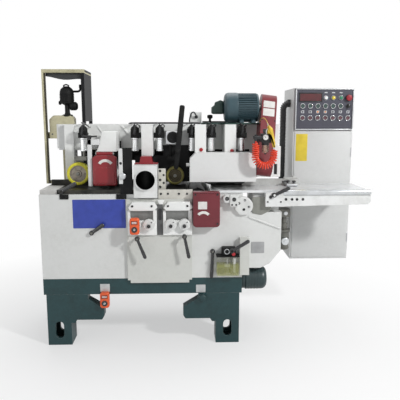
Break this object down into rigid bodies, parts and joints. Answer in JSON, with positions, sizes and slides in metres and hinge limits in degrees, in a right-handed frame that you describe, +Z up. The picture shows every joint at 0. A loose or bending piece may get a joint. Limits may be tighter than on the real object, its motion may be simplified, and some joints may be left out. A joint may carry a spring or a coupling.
{
  "type": "four sided moulder",
  "caption": "Woodworking moulder with a cast bed on two legs, cutterheads on four sides, a rising feed beam with air pressed wheels, an infeed table and a switch cabinet.",
  "frame": {"origin": "centre of the four anchor bolt holes, on the floor", "axes": "+X along the feed towards the infeed end and the cabinet, +Y to the back, +Z up"},
  "size_m": [1.858, 0.806, 1.528],
  "materials": {
    "white_paint": "semi gloss",
    "teal_paint": "semi gloss",
    "red_paint": "semi gloss",
    "cream_paint": "matt",
    "motor_paint": "satin",
    "cast_steel": "matt",
    "bright_steel": "ground",
    "chrome_plate": "polished",
    "black_plastic": "matt",
    "panel_film": "satin",
    "orange_plastic": "gloss",
    "hose_plastic": "gloss",
    "gun_plastic": "gloss",
    "button_plastic": "gloss",
    "red_plastic": "gloss",
    "clear_plastic": "clear",
    "yellow_tyre": "matt",
    "olive_tyre": "matt",
    "belt_rubber": "matt"
  },
  "bodies": {
    "bed": {"base_frame": "teal_paint", "legs": "teal_paint", "bed_casting": "white_paint", "front_panel": "white_paint", "table_plates": "bright_steel", "spindle_motors": "motor_paint", "lift_columns": "bright_steel", "dust_box": "white_paint", "cutter_guards": "red_paint", "side_shroud": "cast_steel", "control_cabinet": "white_paint", "control_panel": "panel_film", "spindle_adjusters": "bright_steel", "position_counters": "orange_plastic", "oil_pump": "cast_steel", "oil_reservoir": "clear_plastic", "conduit": "black_plastic", "rear_guard_frame": "cream_paint", "gear_motor": "cast_steel", "lift_motor": "motor_paint"},
    "beam": {"feed_beam": "white_paint", "feed_beam_cover": "white_paint", "wheel_shroud": "cast_steel", "air_cylinders": "cast_steel", "feed_motor": "motor_paint", "belt_guard": "red_paint", "feed_belt": "belt_rubber", "air_service_unit": "black_plastic", "air_hose": "hose_plastic", "air_gun": "gun_plastic"},
    "top_head": {"top_spindle_slide": "motor_paint", "dust_chute": "white_paint"},
    "top_guard": {"top_guard": "red_paint"},
    "bottom_cutterhead": {"bottom_cutterhead": "bright_steel"},
    "rear_cutterhead": {"rear_cutterhead": "bright_steel"},
    "front_cutterhead": {"front_cutterhead": "bright_steel"},
    "top_cutterhead": {"top_cutterhead": "bright_steel"},
    "motor_pulley": {"motor_pulley": "bright_steel"},
    "feed_drive_shaft": {"feed_drive_shaft": "bright_steel"},
    "outfeed_fork": {"outfeed_fork": "cast_steel"},
    "middle_fork": {"middle_fork": "cast_steel"},
    "infeed_fork": {"infeed_fork": "cast_steel"},
    "outfeed_wheel": {"outfeed_wheel": "yellow_tyre"},
    "middle_wheel": {"middle_wheel": "olive_tyre"},
    "infeed_wheel_1": {"infeed_wheel_1": "cast_steel"},
    "infeed_wheel_2": {"infeed_wheel_2": "cast_steel"},
    "infeed_table": {"infeed_table": "chrome_plate"},
    "guide_fence": {"guide_fence": "bright_steel"},
    "press_lever": {"press_lever": "cast_steel"},
    "adjuster_lever_1": {"adjuster_lever_1": "cast_steel"},
    "adjuster_lever_2": {"adjuster_lever_2": "cast_steel"},
    "panel_lever": {"panel_lever": "cast_steel"},
    "outfeed_lever": {"outfeed_lever": "cast_steel"},
    "fence_lever": {"fence_lever": "cast_steel"},
    "drain_lever": {"drain_lever": "cast_steel"},
    "pump_handle": {"pump_handle": "cast_steel"},
    "estop_button": {"estop_button": "red_plastic"},
    "selector_knob": {"selector_knob": "black_plastic"},
    "start_buttons": {"start_buttons": "button_plastic"},
    "stop_buttons": {"stop_buttons": "button_plastic"}
  },
  "joints": [
    {"name": "beam_lift", "type": "slide", "parent": "bed", "child": "beam", "axis": [0, 0, 1], "range_m": [0, 0.07]},
    {"name": "top_head_lift", "type": "slide", "parent": "bed", "child": "top_head", "axis": [0, 0, 1], "range_m": [0, 0.05]},
    {"name": "top_guard_hinge", "type": "hinge", "parent": "top_head", "child": "top_guard", "pos_m": [-0.2, -0.19, 1.05], "axis": [-1, 0, 0], "range_deg": [0, 80]},
    {"name": "bottom_head_spin", "type": "hinge", "parent": "bed", "child": "bottom_cutterhead", "pos_m": [0.3, -0.105, 0.802], "axis": [0, 1, 0], "continuous": true},
    {"name": "rear_head_spin", "type": "hinge", "parent": "bed", "child": "rear_cutterhead", "pos_m": [0.19, 0.01, 0.9], "axis": [0, 0, 1], "continuous": true},
    {"name": "front_head_spin", "type": "hinge", "parent": "bed", "child": "front_cutterhead", "pos_m": [0.02, -0.205, 0.9], "axis": [0, 0, 1], "continuous": true},
    {"name": "top_head_spin", "type": "hinge", "parent": "top_head", "child": "top_cutterhead", "pos_m": [-0.2, -0.105, 0.934], "axis": [0, 1, 0], "continuous": true},
    {"name": "drive_spin", "type": "hinge", "parent": "beam", "child": "feed_drive_shaft", "pos_m": [0.5, -0.165, 0.985], "axis": [1, 0, 0], "continuous": true},
    {"name": "motor_spin", "type": "hinge", "parent": "beam", "child": "motor_pulley", "pos_m": [0.68, -0.02, 1.297], "axis": [1, 0, 0], "continuous": true},
    {"name": "outfeed_press", "type": "slide", "parent": "beam", "child": "outfeed_fork", "axis": [0, 0, 1], "range_m": [0, 0.012]},
    {"name": "middle_press", "type": "slide", "parent": "beam", "child": "middle_fork", "axis": [0, 0, 1], "range_m": [0, 0.012]},
    {"name": "infeed_press", "type": "slide", "parent": "beam", "child": "infeed_fork", "axis": [0, 0, 1], "range_m": [0, 0.012]},
    {"name": "outfeed_wheel_spin", "type": "hinge", "parent": "outfeed_fork", "child": "outfeed_wheel", "pos_m": [-0.357, -0.118, 0.936], "axis": [0, 1, 0], "continuous": true},
    {"name": "middle_wheel_spin", "type": "hinge", "parent": "middle_fork", "child": "middle_wheel", "pos_m": [0.176, -0.118, 0.924], "axis": [0, 1, 0], "continuous": true},
    {"name": "infeed_wheel_1_spin", "type": "hinge", "parent": "infeed_fork", "child": "infeed_wheel_1", "pos_m": [0.377, -0.118, 0.936], "axis": [0, 1, 0], "continuous": true},
    {"name": "infeed_wheel_2_spin", "type": "hinge", "parent": "infeed_fork", "child": "infeed_wheel_2", "pos_m": [0.53, -0.118, 0.936], "axis": [0, 1, 0], "continuous": true},
    {"name": "infeed_height", "type": "slide", "parent": "bed", "child": "infeed_table", "axis": [0, 0, 1], "range_m": [0, 0.006]},
    {"name": "fence_shift", "type": "slide", "parent": "infeed_table", "child": "guide_fence", "axis": [0, 1, 0], "range_m": [-0.03, 0.03]},
    {"name": "fence_clamp", "type": "hinge", "parent": "infeed_table", "child": "fence_lever", "pos_m": [0.7, -0.31, 0.838], "axis": [0, -1, 0], "range_deg": [-40, 60]},
    {"name": "press_lever_swing", "type": "hinge", "parent": "beam", "child": "press_lever", "pos_m": [0.192, -0.16, 1.06], "axis": [0, -1, 0], "range_deg": [-12, 12]},
    {"name": "adjuster_clamp_1", "type": "hinge", "parent": "bed", "child": "adjuster_lever_1", "pos_m": [-0.023, -0.332, 0.612], "axis": [0, -1, 0], "range_deg": [-30, 30]},
    {"name": "adjuster_clamp_2", "type": "hinge", "parent": "bed", "child": "adjuster_lever_2", "pos_m": [0.226, -0.332, 0.622], "axis": [0, -1, 0], "range_deg": [-30, 30]},
    {"name": "panel_clamp", "type": "hinge", "parent": "bed", "child": "panel_lever", "pos_m": [-0.268, -0.28, 0.634], "axis": [0, -1, 0], "range_deg": [-45, 45]},
    {"name": "outfeed_clamp", "type": "hinge", "parent": "bed", "child": "outfeed_lever", "pos_m": [-0.425, -0.26, 0.855], "axis": [0, -1, 0], "range_deg": [-25, 60]},
    {"name": "drain_valve", "type": "hinge", "parent": "bed", "child": "drain_lever", "pos_m": [0.378, -0.28, 0.527], "axis": [0, -1, 0], "range_deg": [-40, 0]},
    {"name": "pump_stroke", "type": "hinge", "parent": "bed", "child": "pump_handle", "pos_m": [0.478, -0.33, 0.542], "axis": [0, -1, 0], "range_deg": [-45, 30]},
    {"name": "estop_press", "type": "slide", "parent": "bed", "child": "estop_button", "axis": [0, 1, 0], "range_m": [0, 0.003], "stiffness_N_per_m": 600},
    {"name": "start_press", "type": "slide", "parent": "bed", "child": "start_buttons", "axis": [0, 1, 0], "range_m": [0, 0.003], "stiffness_N_per_m": 400},
    {"name": "stop_press", "type": "slide", "parent": "bed", "child": "stop_buttons", "axis": [0, 1, 0], "range_m": [0, 0.003], "stiffness_N_per_m": 400},
    {"name": "selector_turn", "type": "hinge", "parent": "bed", "child": "selector_knob", "pos_m": [1.1902, 0.05, 1.309], "axis": [0, -1, 0], "range_deg": [-45, 45]}
  ],
  "couplings": [
    {"joint": "motor_spin", "follows": "drive_spin", "ratio": 1},
    {"joint": "outfeed_wheel_spin", "follows": "drive_spin", "ratio": 0.5},
    {"joint": "middle_wheel_spin", "follows": "drive_spin", "ratio": 0.62},
    {"joint": "infeed_wheel_1_spin", "follows": "drive_spin", "ratio": 0.5},
    {"joint": "infeed_wheel_2_spin", "follows": "drive_spin", "ratio": 0.5}
  ]
}
